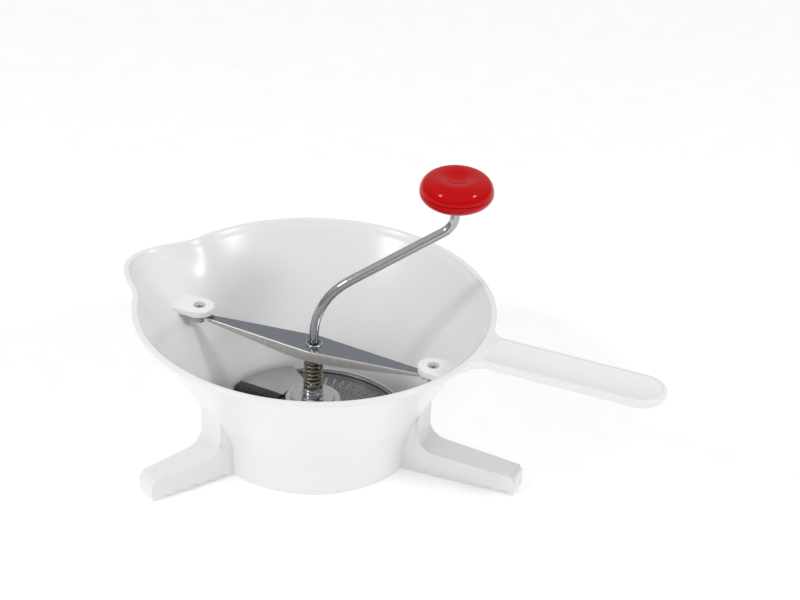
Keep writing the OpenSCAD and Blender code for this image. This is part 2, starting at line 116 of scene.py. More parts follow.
def slab(bm: BMesh, outline: Sequence[Point2], low: float, high: float,
         round_off: float = 0.0, segments: int = 3) -> list[bmesh.types.BMVert]:
    """Extrudes a flat outline upwards and rounds its rims.

    Args:
        bm: Mesh to add to.
        outline: X and Y of each corner, anticlockwise, in millimetres.
        low: Height of the underside, in millimetres.
        high: Height of the top, in millimetres.
        round_off: Radius of the rounded rims, in millimetres.
        segments: Spans across each rounded rim.

    Returns:
        The new vertices.
    """
    before = set(bm.verts)
    face = bm.faces.new([bm.verts.new((x * MM, y * MM, low * MM)) for x, y in outline])
    face.normal_flip()
    grown = bmesh.ops.extrude_face_region(bm, geom=[face], use_keep_orig=True)["geom"]
    top = [v for v in grown if isinstance(v, bmesh.types.BMVert)]
    bmesh.ops.translate(bm, verts=top, vec=(0, 0, (high - low) * MM))
    if round_off:
        fresh = set(bm.verts) - before
        rims = [e for e in bm.edges if e.verts[0] in fresh and abs(e.verts[0].co.z - e.verts[1].co.z) < 1e-7]
        bmesh.ops.bevel(bm, geom=rims, offset=round_off * MM, segments=segments, affect="EDGES",
                        profile=0.5, material=-1, clamp_overlap=True)
    return [v for v in bm.verts if v not in before]


def tube(bm: BMesh, radius: float, start: Vector, moves: Sequence[tuple],
         sides: int = 32) -> None:
    """Draws a round rod along straight runs and bends.

    Args:
        bm: Mesh to add to.
        radius: Radius of the rod, in metres.
        start: Centre of its lower end; it sets out straight up.
        moves: ("run", vector) or ("bend", centre, axis, angle, rise per turn), in metres and radians.
        sides: Corners of its section.
    """
    ring = bmesh.ops.create_circle(bm, segments=sides, radius=radius, cap_ends=False,
                                   matrix=Matrix.Translation(start))["verts"]
    edges = list({e for v in ring for e in v.link_edges})
    first = edges
    for move in moves:
        if move[0] == "run":
            grown = bmesh.ops.extrude_edge_only(bm, edges=edges)["geom"]
            ends = [v for v in grown if isinstance(v, bmesh.types.BMVert)]
            bmesh.ops.translate(bm, verts=ends, vec=move[1])
        else:
            _, centre, axis, angle, rise = move
            steps = max(4, int(abs(angle) / math.radians(7)))
            verts = list({v for e in edges for v in e.verts})
            grown = bmesh.ops.spin(bm, geom=verts + edges, cent=centre, axis=axis, angle=angle, steps=steps,
                                   dvec=(0, 0, rise * angle / math.tau / steps))["geom_last"]
        edges = [e for e in grown if isinstance(e, bmesh.types.BMEdge)]
    bmesh.ops.holes_fill(bm, edges=first + edges, sides=0)


def swing(bm: BMesh, azimuth: float) -> None:
    """Turns a mesh about the shaft, by an angle in degrees."""
    bmesh.ops.rotate(bm, verts=bm.verts, cent=(0, 0, 0),
                     matrix=Matrix.Rotation(math.radians(azimuth), 3, "Z"))


def absorb(bm: BMesh, other: BMesh) -> None:
    """Adds another mesh to a mesh and frees it.

    Args:
        bm: Mesh to add to.
        other: Mesh that is added.
    """
    carrier = bpy.data.meshes.new("carrier")
    other.to_mesh(carrier)
    other.free()
    bm.from_mesh(carrier)
    bpy.data.meshes.remove(carrier)


def finish(bm: BMesh, name: str, materials: Sequence[bpy.types.Material],
           sharp: float = 35.0) -> bpy.types.Object:
    """Makes an object of a mesh, with smooth faces and sharp corners.

    Args:
        bm: The mesh; it is freed.
        name: Name of the object.
        materials: Its materials, in the order of the faces' material numbers.
        sharp: Angle in degrees past which an edge stays sharp.

    Returns:
        The object, in the scene.
    """
    bmesh.ops.recalc_face_normals(bm, faces=bm.faces)
    mesh = bpy.data.meshes.new(name)
    bm.to_mesh(mesh)
    bm.free()
    mesh.polygons.foreach_set("use_smooth", [True] * len(mesh.polygons))
    mesh.set_sharp_from_angle(angle=math.radians(sharp))
    for material in materials:
        mesh.materials.append(material)
    thing = bpy.data.objects.new(name, mesh)
    bpy.context.scene.collection.objects.link(thing)
    return thing


def cut(body: bpy.types.Object, tools: Sequence[bpy.types.Object]) -> None:
    """Cuts other solids out of a solid and drops them.

    Args:
        body: The solid that stays.
        tools: The solids taken away.
    """
    for tool in tools:
        step = body.modifiers.new("cut", "BOOLEAN")
        step.operation = "DIFFERENCE"
        step.solver = "EXACT"
        step.object = tool
    ready = body.evaluated_get(bpy.context.evaluated_depsgraph_get())
    mesh = bpy.data.meshes.new_from_object(ready)
    body.modifiers.clear()
    body.data = mesh
    for tool in tools:
        bpy.data.objects.remove(tool)


def report(thing: bpy.types.Object, body: str, slot: str, *nodes: str) -> None:
    """Attaches a finished piece to the body it rides on, hides the CAD nodes it stands for, and logs it.

    Args:
        thing: The piece.
        body: The CAD body it moves with.
        slot: Not used.
        nodes: The CAD nodes it stands for.
    """
    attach(thing, body)
    if nodes:
        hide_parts(*nodes)
    log.info("%s: %d faces, rides on %s", thing.name, len(thing.data.polygons), body)


# ---------------------------------------------------------------- finishes


def add_node(tree: bpy.types.NodeTree, kind: str, settings: dict | None = None,
             links: dict | None = None) -> bpy.types.Node:
    """Adds a node with its settings and links.

    Args:
        tree: The material's tree.
        kind: Type name of the node.
        settings: Values by attribute or socket name.
        links: Source sockets by socket name.

    Returns:
        The node.
    """
    node = tree.nodes.new(kind)
    for name, value in (settings or {}).items():
        if name in node.inputs:
            node.inputs[name].default_value = value
        else:
            setattr(node, name, value)
    for name, source in (links or {}).items():
        tree.links.new(source, node.inputs[name])
    return node


class Grain(Enum):
    """Which way a metal's surface lines run."""

    ALONG_X = (0.04, 1.0, 1.0)
    ALONG_Y = (1.0, 0.04, 1.0)
    ALONG_Z = (1.0, 1.0, 0.04)
    ROUND = (0.0, 0.0, 0.0)


def ramp(tree: bpy.types.NodeTree, source: bpy.types.NodeSocket, low: tuple, high: tuple,
         span: Point2 = (0.3, 0.7)) -> bpy.types.NodeSocket:
    """Turns a grey pattern to a blend of two colours.

    Args:
        tree: The material's tree.
        source: The pattern.
        low: Linear colour at its dark end.
        high: Linear colour at its light end.
        span: Pattern values of the two ends.

    Returns:
        The colour socket.
    """
    node = add_node(tree, "ShaderNodeValToRGB", links={"Fac": source})
    node.color_ramp.elements[0].position, node.color_ramp.elements[1].position = span
    node.color_ramp.elements[0].color, node.color_ramp.elements[1].color = low, high
    return node.outputs["Color"]


def roughness_of(tree: bpy.types.NodeTree, source: bpy.types.NodeSocket, low: float,
                 high: float) -> bpy.types.NodeSocket:
    """Spreads a pattern over a range of roughness."""
    return add_node(tree, "ShaderNodeMapRange", {"To Min": low, "To Max": high},
                    {"Value": source}).outputs["Result"]


@dataclass(frozen=True)
class MouldedPlastic:
    """Injection-moulded plastic: an even colour, a soft gloss and the faint ripple of the mould's surface."""

    name: str
    colour: str
    shade: str
    roughness: float
    ripple_mm: float = 9.0
    ripple_depth: float = 0.012
    sheen: float = 0.5
    spread: float = 0.02

    def material(self) -> bpy.types.Material:
        """Makes the material."""
        mat = bpy.data.materials.new(self.name)
        mat.use_nodes = True
        tree = mat.node_tree
        tree.nodes.clear()
        place = add_node(tree, "ShaderNodeTexCoord").outputs["Object"]
        cloud = add_node(tree, "ShaderNodeTexNoise", {"Scale": 1 / (4 * self.ripple_mm * MM), "Detail": 3.0},
                         {"Vector": place}).outputs["Fac"]
        grit = add_node(tree, "ShaderNodeTexNoise", {"Scale": 1 / (0.8 * MM), "Detail": 2.0},
                        {"Vector": place}).outputs["Fac"]
        ripple = add_node(tree, "ShaderNodeTexNoise", {"Scale": 1 / (self.ripple_mm * MM), "Detail": 1.0},
                          {"Vector": place}).outputs["Fac"]
        wave = add_node(tree, "ShaderNodeBump", {"Strength": 0.25, "Distance": self.ripple_depth * MM},
                        {"Height": ripple})
        skin = add_node(tree, "ShaderNodeBump", {"Strength": 0.2, "Distance": 0.006 * MM},
                        {"Height": grit, "Normal": wave.outputs["Normal"]})
        shader = add_node(tree, "ShaderNodeBsdfPrincipled", {"IOR": 1.49, "Specular IOR Level": self.sheen},
                          {"Base Color": ramp(tree, cloud, linear(self.shade), linear(self.colour)),
                           "Roughness": roughness_of(tree, cloud, self.roughness - self.spread / 2,
                                                     self.roughness + self.spread / 2),
                           "Normal": skin.outputs["Normal"]})
        add_node(tree, "ShaderNodeOutputMaterial", links={"Surface": shader.outputs["BSDF"]})
        return mat


@dataclass(frozen=True)
class LightTablePaper:
    """Matt white paper lit a little from behind, with the faint cloud of its fibres."""

    name: str
    colour: str
    shade: str
    glow: float

    def material(self) -> bpy.types.Material:
        """Makes the material."""
        mat = bpy.data.materials.new(self.name)
        mat.use_nodes = True
        tree = mat.node_tree
        tree.nodes.clear()
        place = add_node(tree, "ShaderNodeTexCoord").outputs["Object"]
        cloud = add_node(tree, "ShaderNodeTexNoise", {"Scale": 40.0, "Detail": 3.0}, {"Vector": place})
        shader = add_node(tree, "ShaderNodeBsdfPrincipled",
                          {"Roughness": 0.9, "Emission Color": (1, 1, 1, 1),
                           "Emission Strength": self.glow},
                          {"Base Color": ramp(tree, cloud.outputs["Fac"], linear(self.shade),
                                              linear(self.colour))})
        add_node(tree, "ShaderNodeOutputMaterial", links={"Surface": shader.outputs["BSDF"]})
        return mat


@dataclass(frozen=True)
class WorkedSteel:
    """Stainless steel with the lines of its making: brushed sheet, turned bar, drawn rod or wire."""

    name: str
    colour: str
    shade: str
    roughness: float
    grain: Grain
    line_mm: float = 0.35
    depth: float = 0.004
    spread: float = 0.08

    def lines(self, tree: bpy.types.NodeTree) -> bpy.types.NodeSocket:
        """Pattern of the surface's lines.

        Args:
            tree: The material's tree.

        Returns:
            A grey socket.
        """
        place = add_node(tree, "ShaderNodeTexCoord").outputs["Object"]
        scale = 1 / (self.line_mm * MM)
        if self.grain is Grain.ROUND:
            flat = add_node(tree, "ShaderNodeVectorMath", {"operation": "MULTIPLY"}, {0: place})
            flat.inputs[1].default_value = (1, 1, 0)
            radius = add_node(tree, "ShaderNodeVectorMath", {"operation": "LENGTH"},
                              {0: flat.outputs[0]}).outputs["Value"]
            return add_node(tree, "ShaderNodeTexNoise",
                            {"noise_dimensions": "1D", "Scale": scale, "Detail": 2.0},
                            {"W": radius}).outputs["Fac"]
        turned = add_node(tree, "ShaderNodeMapping", {"Scale": [scale * s for s in self.grain.value]},
                          {"Vector": place}).outputs["Vector"]
        return add_node(tree, "ShaderNodeTexNoise", {"Scale": 1.0, "Detail": 3.0},
                        {"Vector": turned}).outputs["Fac"]

    def material(self) -> bpy.types.Material:
        """Makes the material."""
        mat = bpy.data.materials.new(self.name)
        mat.use_nodes = True
        tree = mat.node_tree
        tree.nodes.clear()
        lines = self.lines(tree)
        bump = add_node(tree, "ShaderNodeBump", {"Strength": 0.3, "Distance": self.depth * MM},
                        {"Height": lines})
        shader = add_node(tree, "ShaderNodeBsdfPrincipled", {"Metallic": 1.0},
                          {"Base Color": ramp(tree, lines, linear(self.shade), linear(self.colour)),
                           "Roughness": roughness_of(tree, lines, self.roughness - self.spread / 2,
                                                     self.roughness + self.spread / 2),
                           "Normal": bump.outputs["Normal"]})
        add_node(tree, "ShaderNodeOutputMaterial", links={"Surface": shader.outputs["BSDF"]})
        return mat


# Polypropylene moulding: milky white with a soft sheen and faint mould ripple
WHITE_POLYPROPYLENE = MouldedPlastic("white moulded polypropylene", "f4f4f5", "f2f3f4", 0.24)
# Polystyrene knob: saturated red under a clear, glassy skin
RED_POLYSTYRENE = MouldedPlastic("red gloss polystyrene", "c60006", "c00005", 0.08, 14.0, 0.004, 0.16)
# Face of the bar: cold grey darkened as a painted dark reflection, nearly a mirror, with faint streaks along
# it
BAR_STEEL_PAINTED_DARK_REFLECTION = WorkedSteel("bar steel with painted dark reflection", "8e939a", "80858c", 0.15,
                              Grain.ALONG_X, 0.5, 0.003, 0.06)
# Side flanges of the bar: a paler copy of the same steel, as painted light, with short lines across the
# flange that scatter the light
BAR_FLANGE_PAINTED_LIGHT = WorkedSteel("bar flange steel with painted light", "d2d1cc", "b0aea8", 0.36,
                                Grain.ALONG_Z, 0.45, 0.006)
# Bright pressed sheet of the blade, brushed before it was folded
BRUSHED_BLADE_SHEET = WorkedSteel("brushed stainless blade sheet", "c3c4c6", "b2b3b6", 0.34,
                                  Grain.ALONG_Y, 0.6)
# Rolled part of the blade: dark, in streaks along it, as a painted reflection of the dark sieve and painted
# shade under the wing
BLADE_ROLL_PAINTED_REFLECTION_AND_SHADE = WorkedSteel("blade roll with painted dark reflection and shade", "505155", "2f3034", 0.26,
                                 Grain.ALONG_X, 0.9, 0.01, 0.14)
# Pressed sieve sheet, spun round its centre: rings of fine lines
SPUN_SIEVE_SHEET = WorkedSteel("spun stainless sieve sheet", "939395", "79797c", 0.28, Grain.ROUND, 0.5)
# Drawn and polished round rod: nearly a mirror, with faint lines along it
POLISHED_ROD = WorkedSteel("polished drawn rod", "b9b9ba", "acacae", 0.07,
                           Grain.ALONG_Z, 0.4, 0.0005, 0.03)
# Turned steel of the hub and bush: fine rings from the lathe
TURNED_STEEL = WorkedSteel("turned stainless hub", "c2c2c4", "a6a6a9", 0.22,
                           Grain.ROUND, 0.3, 0.006, 0.1)
# Zinc-bright screws, nuts and washers: slightly duller and greyer
PLAIN_FASTENER_STEEL = WorkedSteel("plain fastener steel", "cfcfd0", "aaaaac", 0.3, Grain.ROUND, 0.5)
# Drawn spring wire: brownish where it was tempered
TEMPERED_WIRE = WorkedSteel("tempered spring wire", "a39a8e", "6f665b", 0.28,
                            Grain.ALONG_Z, 0.3, 0.004, 0.12)


# Studio paper on a light table: clean white, with no hard shadow
STUDIO_PAPER = LightTablePaper("white studio paper", "ffffff", "fbfbfb", 0.17)


# ---------------------------------------------------------------- bowl


@dataclass
class Bowl:
    """White moulding: drum, flare, wall, rim lip, pour spout, handle, pot arms and lugs. Millimetres."""

    rim_r: float = 120.0
    rim_h: float = 102.5
    drum_r: float = 72.0
    wall: float = 2.2
    lip_w: float = 2.0
    lip_h: float = 3.2
    flare_r: float = 50.0
    flare_z: float = 12.4
    flare_angle: float = 25.0
    ledge_in: float = 63.5
    ledge_z: float = 8.0
    spout_out: float = 19.0
    spout_half: float = 23.0
    spout_depth: float = 30.0
    handle_tip: float = 241.3
    handle_w: float = 33.6
    handle_t: float = 5.6
    root_r: float = 12.0
    long_arm: float = 149.5
    short_arm: float = 131.5
    arm_h: float = 17.5
    tip_h: float = 15.0
    tooth_pitch: float = 10.7
    tooth_r: float = 4.9
    tooth_depth: float = 2.4
    tooth_start: float = 79.0
    arm_half: float = 10.8
    arm_taper: float = 2.8
    gusset_x: float = 93.5
    gusset_r: float = 12.0
    gusset_z: float = 44.0
    lug_r: float = 85.4
    lug_top: float = 79.2
    lug_under: float = 74.0
    lug_w: float = 20.4
    recess_r: float = 4.2

    def wall_curve(self, inset: float, flare_steps: int = 10, wall_steps: int = 30) -> list[Point2]:
        """Wall's line from the drum's foot to the rim.

        Args:
            inset: How far inside the outer surface it lies.
            flare_steps: Spans on the flare.
            wall_steps: Spans on the trumpet curve above it.

        Returns:
            Radius and height of each point.
        """
        a = math.radians(self.flare_angle)
        foot = (self.drum_r + self.flare_r * (1 - math.cos(a)), self.flare_z + self.flare_r * math.sin(a))
        reach, climb = self.rim_r - self.lip_w - foot[0], self.rim_h - foot[1]
        top = 2 * math.degrees(math.atan2(reach, climb)) - self.flare_angle
        radius = math.hypot(reach, climb) / (2 * math.sin(math.radians(top - self.flare_angle) / 2))
        hub = (foot[0] + radius * math.cos(a), foot[1] - radius * math.sin(a))
        flare = arc((self.drum_r + self.flare_r, self.flare_z), self.flare_r + inset, 180,
                    180 - self.flare_angle, flare_steps)
        return flare + arc(hub, radius + inset, 180 - self.flare_angle, 180 - top, wall_steps)[1:]

    def wall_radius(self, height: float) -> float:
        """Outer radius of the wall at a height."""
        line = self.wall_curve(0)
        for (r0, z0), (r1, z1) in zip(line, line[1:]):
            if z0 <= height <= z1:
                return r0 + (r1 - r0) * (height - z0) / (z1 - z0)
        return line[-1][0]

    def spout_push(self, azimuth: float, height: float) -> float:
        """How far the spout pushes the wall out.

        Args:
            azimuth: Angle from the spout's middle, in degrees.
            height: Height in millimetres.

        Returns:
            Millimetres outwards.
        """
        depth = max(0.0, self.rim_h - height)
        if abs(azimuth) >= self.spout_half or depth >= self.spout_depth:
            return 0.0
        side = math.cos(math.radians(90 * azimuth / self.spout_half))
        fall = math.cos(math.radians(90 * depth / self.spout_depth))
        return self.spout_out * side * side * fall ** 1.4

    def shell(self, bm: BMesh) -> None:
        """Spins the wall with its lip and ledge, and draws the spout out of it."""
        outer = [(r, z) for r, z in self.wall_curve(0) if z < self.rim_h - self.lip_h - 0.5]
        inner = [(r, z) for r, z in self.wall_curve(self.wall) if z < self.rim_h - 2]
        under = self.rim_h - self.lip_h
        base_r = self.wall_radius(under)
        hole = self.drum_r - self.wall
        lip = [(base_r + 0.1, under - 0.1)]
        lip += arc((self.rim_r - 0.9, under + 0.9), 0.9, -90, 0, 4)
        lip += arc((self.rim_r - 1.2, self.rim_h - 1.2), 1.2, 0, 90, 5)
        lip += arc((self.rim_r - self.lip_w - self.wall + 1.1, self.rim_h - 1.1), 1.1, 90, 165, 4)
        foot = arc((self.drum_r - 1.2, 1.2), 1.2, -90, 0, 4)
        ledge = [(hole, self.ledge_z + 0.6), (hole - 0.8, self.ledge_z)]
        ledge += arc((self.ledge_in + 0.6, self.ledge_z - 0.6), 0.6, 90, 180, 3)
        ledge += [(self.ledge_in, self.ledge_z - 2), (hole, 2.0), (hole, 0.5), (hole + 0.4, 0.0)]
        rise = [(self.drum_r, 1.2 + (self.flare_z - 1.2) * i / 3) for i in (1, 2)]
        lathe(bm, foot + rise + outer + lip + inner[::-1] + ledge, steps=240)
        for v in bm.verts:
            azimuth = math.degrees(math.atan2(-v.co.y, -v.co.x))
            push = self.spout_push(azimuth, v.co.z / MM) * MM
            if push:
                out = Vector((v.co.x, v.co.y, 0)).normalized()
                v.co += out * push

    def handle(self) -> bpy.types.Object:
        """Flat paddle with filleted roots, a rounded tip and a slightly sunk middle.

        Returns:
            The paddle as a solid of its own, which ends inside the wall.
        """
        bm = bmesh.new()
        half = self.handle_w / 2
        reach = self.rim_r + self.root_r
        root_x = math.sqrt(reach ** 2 - (half + self.root_r) ** 2)
        meet = math.degrees(math.atan2(half + self.root_r, root_x))
        inner_r = self.rim_r - 3.4
        outline = arc((root_x, -half - self.root_r), self.root_r, 180 - meet, 90, 8)
        outline += arc((self.handle_tip - half, 0), half, -90, 90, 28)
        outline += arc((root_x, half + self.root_r), self.root_r, -90, -180 + meet, 8)
        outline += arc((0, 0), inner_r, meet + 1.5, -meet - 1.5, 16)
        slab(bm, outline, self.rim_h - self.handle_t, self.rim_h - 0.05, 1.3, 4)
        for v in bm.verts:
            r = math.hypot(v.co.x, v.co.y)
            if r < (inner_r + 1.4) * MM:
                slope = (self.wall_radius(v.co.z / MM) - self.rim_r + self.lip_w) * MM
                v.co.x, v.co.y = v.co.x * (1 + slope / r), v.co.y * (1 + slope / r)
        paddle = finish(bm, "handle", [])
        bm = bmesh.new()
        inner_half, start = half - 2.2, self.rim_r + 7
        pocket = arc((self.handle_tip - half, 0), inner_half, -90, 90, 24)
        # short slanted corners where the pocket ends at the root
        pocket += arc((start, 0), inner_half, 90, 100, 1) + arc((start, 0), inner_half, 260, 270, 1)
        slab(bm, pocket, self.rim_h - 0.65, self.rim_h + 2, 0.4, 2)
        cut(paddle, [finish(bm, "pocket", [])])
        return paddle

    def arm_outline(self, reach: float) -> list[Point2]:
        """Side view of a pot arm with its gusset and teeth.

        Args:
            reach: Distance from the axis to the arm's tip.

        Returns:
            Distance out and height of each point, anticlockwise.
        """
        foot = 0.3
        teeth = int((reach - 2 - self.tooth_start) // self.tooth_pitch)
        bite = math.degrees(math.acos((self.tooth_r - self.tooth_depth) / self.tooth_r))
        line = [(66.0, foot)]
        for i in range(teeth + 1):
            centre = (self.tooth_start + i * self.tooth_pitch, foot + self.tooth_depth - self.tooth_r)
            line += arc(centre, self.tooth_r, 90 + bite, 90 - bite, 8)
        line += [(reach - 1, foot), (reach, foot + 1.2)]
        line += arc((reach - 6, self.tip_h - 6), 6, 0, 84, 8)
        line += arc((self.gusset_x, self.arm_h + self.gusset_r), self.gusset_r, 268, 180, 10)
        line += arc((self.gusset_x, self.gusset_z), self.gusset_r, 180, 150, 4)
        return line + [(84.5, 53.0), (80.0, 52.0), (70.0, 30.0), (66.0, 12.0)]

    def arm(self, reach: float, azimuth: float) -> bpy.types.Object:
        """Pot arm: its side view given a tapered width and rounded edges.

        Args:
            reach: Distance from the axis to its tip.
            azimuth: Direction it points in, in degrees.

        Returns:
            The arm as a solid of its own.
        """
        bm = bmesh.new()
        outline = self.arm_outline(reach)
        slab(bm, outline, -1000, 1000)
        for v in bm.verts:
            out, up, side = v.co.x / MM, v.co.y / MM, v.co.z / MM / 1000
            half = self.arm_half - self.arm_taper * max(0.0, out - 80) / (reach - 80)
            v.co = Vector((out, -side * half, up)) * MM
        for offset, high in ((3.2, True), (0.9, False)):
            rims = [e for e in bm.edges if e.calc_face_angle(0) > math.radians(40)
                    and (min(v.co.z for v in e.verts) > 7 * MM) is high]
            bmesh.ops.bevel(bm, geom=rims, offset=offset * MM, segments=4, affect="EDGES", profile=0.5,
                            material=-1, clamp_overlap=True)
        swing(bm, azimuth)
        return finish(bm, "arm", [])

    def lug(self, side: int) -> list[bpy.types.Object]:
        """Tongue that carries one end of the crossbar, with its screw recess.

        Args:
            side: 1 towards the handle, -1 towards the spout.

        Returns:
            The tongue and the tools that cut its recess.
        """
        mid = (self.lug_top + self.lug_under) / 2
        reach = self.wall_radius(mid) - self.wall / 2 + (self.spout_push(0, mid) if side < 0 else 0)
        half = self.lug_w / 2
        outline = arc((self.lug_r, 0), half, 90, 270, 24)
        outline += [(self.lug_r + 12, -half), (reach, -half - 1.2), (reach, half + 1.2),
                    (self.lug_r + 12, half)]
        outline = [(side * x, side * y) for x, y in outline]
        bm = bmesh.new()
        slab(bm, outline, self.lug_under, self.lug_top, 1.0, 3)
        for v in bm.verts:
            if abs(v.co.x) > (reach - 2) * MM:
                v.co.x += side * (self.wall_radius(v.co.z / MM) - self.wall_radius(mid)) * MM
        tongue = finish(bm, "lug", [])
        bm = bmesh.new()
        bmesh.ops.create_cone(bm, segments=32, radius1=self.recess_r * MM, radius2=self.recess_r * MM,
                              depth=8 * MM, cap_ends=True,
                              matrix=Matrix.Translation((side * self.lug_r * MM, 0, 80 * MM)))
        return [tongue, finish(bm, "recess", [])]

    def boss(self, bm: BMesh, side: int) -> None:
        """Round pad under a lug that the crossbar's end bears on."""
        lathe(bm, [(0.01, 72.1), (5.0, 72.1), (5.6, 72.6), (5.6, 74.2), (0.01, 74.2)], 32,
              centre=(side * self.lug_r, 0))

    def build(self) -> None:
        """Builds the whole moulding and dresses it."""
        bm = bmesh.new()
        self.shell(bm)
        for side in (1, -1):
            self.boss(bm, side)
        bowl = finish(bm, "bowl_moulding", [WHITE_POLYPROPYLENE.material()], 30)
        parts = [self.arm(self.long_arm, 0), self.arm(self.short_arm, 120), self.arm(self.short_arm, -120)]
        for side in (1, -1):
            tongue, recess = self.lug(side)
            cut(tongue, [recess])
            parts.append(tongue)
        for part in parts[:3]:
            cut(part, [self.inner_room()])
        parts.append(self.handle())
        self.join(bowl, parts)
        report(bowl, "bowl_body", "white_plastic", "bowl")

    def inner_room(self) -> bpy.types.Object:
        """Solid a little larger than the bowl's inside, to trim what would show through the wall."""
        bm = bmesh.new()
        line = self.wall_curve(self.wall / 2, 10, 12)
        lathe(bm, [(0.01, -5)] + [(self.drum_r - self.wall / 2, -5)] + line + [(0.01, self.rim_h)], 96)
        return finish(bm, "inside", [])

    def join(self, bowl: bpy.types.Object, parts: Sequence[bpy.types.Object]) -> None:
        """Adds other solids to the bowl's mesh.

        Args:
            bowl: The bowl.
            parts: The solids, which are dropped.
        """
        bm = bmesh.new()
        bm.from_mesh(bowl.data)
        for part in parts:
            bm.from_mesh(part.data)
            bpy.data.objects.remove(part)
        for face in bm.faces:
            face.smooth = True
            face.material_index = 0
        bm.to_mesh(bowl.data)
        bm.free()
        bowl.data.set_sharp_from_angle(angle=math.radians(38))


# ---------------------------------------------------------------- sieve


@dataclass
class Sieve:
    """Pressed disc with a bead, radial slots and fine holes. Millimetres."""

    edge_r: float = 67.6
    under: float = 8.05
    sheet: float = 0.8
    bead_r: float = 65.4
    bead_h: float = 1.9
    slot_in: float = 48.5
    slot_out: float = 59.2
    slots: int = 60
    spans: int = 360
    rings: tuple[float, ...] = (22.0, 47.0)
    ring_step: float = 1.5

    def plate(self, bm: BMesh) -> None:
        """Flat middle, with slots and holes left out of its faces, then given its thickness."""
        count = int((self.rings[1] - self.rings[0]) / self.ring_step)
        radii = [3.3, 12.0, self.rings[0]] + [self.rings[0] + self.ring_step * (i + 1) for i in range(count)]
        radii += [self.slot_in, self.slot_out, self.slot_out + 1.0]
        top = self.under + self.sheet
        lathe(bm, [(r, top) for r in radii], self.spans, closed=False)
        gone = []
        for face in bm.faces:
            middle = face.calc_center_median()
            r = math.hypot(middle.x, middle.y) / MM
            column = int(math.degrees(math.atan2(middle.y, middle.x)) % 360)
            row = int((r - self.rings[0]) / self.ring_step)
            width = 2 if r > 34 else 3
            slot = self.slot_in < r < self.slot_out and column % (360 // self.slots) == 2
            fine = self.rings[0] < r < self.rings[1] and row % 2 == 1
            hole = fine and (column + (row // 2 % 2) * width) % (2 * width) < width
            if slot or hole:
                gone.append(face)
        bmesh.ops.delete(bm, geom=gone, context="FACES")
        for face in bm.faces:
            if face.normal.z < 0:
                face.normal_flip()
        bmesh.ops.solidify(bm, geom=bm.faces, thickness=self.sheet * MM)

    def edge(self, bm: BMesh) -> None:
        """Rim of the disc: a fine step, a flat band and the bead."""
        top = self.under + self.sheet
        line = [(self.slot_out + 0.8, self.under), (self.bead_r - self.bead_h, self.under)]
        line += arc((self.bead_r, self.under), self.bead_h - self.sheet, 180, 0, 10)
        line += [(self.edge_r, self.under), (self.edge_r, top)]
        line += arc((self.bead_r, top), self.bead_h, 0, 180, 14)
        line += [(self.slot_out + 2.2, top)] + arc((self.slot_out + 1.5, top), 0.5, 0, 180, 6)
        lathe(bm, line + [(self.slot_out + 0.8, top)], 144)

    def build(self) -> None:
        """Builds the disc and dresses it."""
        bm = bmesh.new()
        self.plate(bm)
        rim = bmesh.new()
        self.edge(rim)
        lathe(rim, [(3.25, 8.05), (5.2, 8.05), (5.2, 8.86), (4.5, 9.0), (4.25, 10.45), (3.25, 10.45)], 48)
        absorb(bm, rim)
        disc = finish(bm, "perforated_sieve", [SPUN_SIEVE_SHEET.material()], 40)
        report(disc, "bowl_body", "sheet_steel", "sieve_disc")


# ---------------------------------------------------------------- crossbar


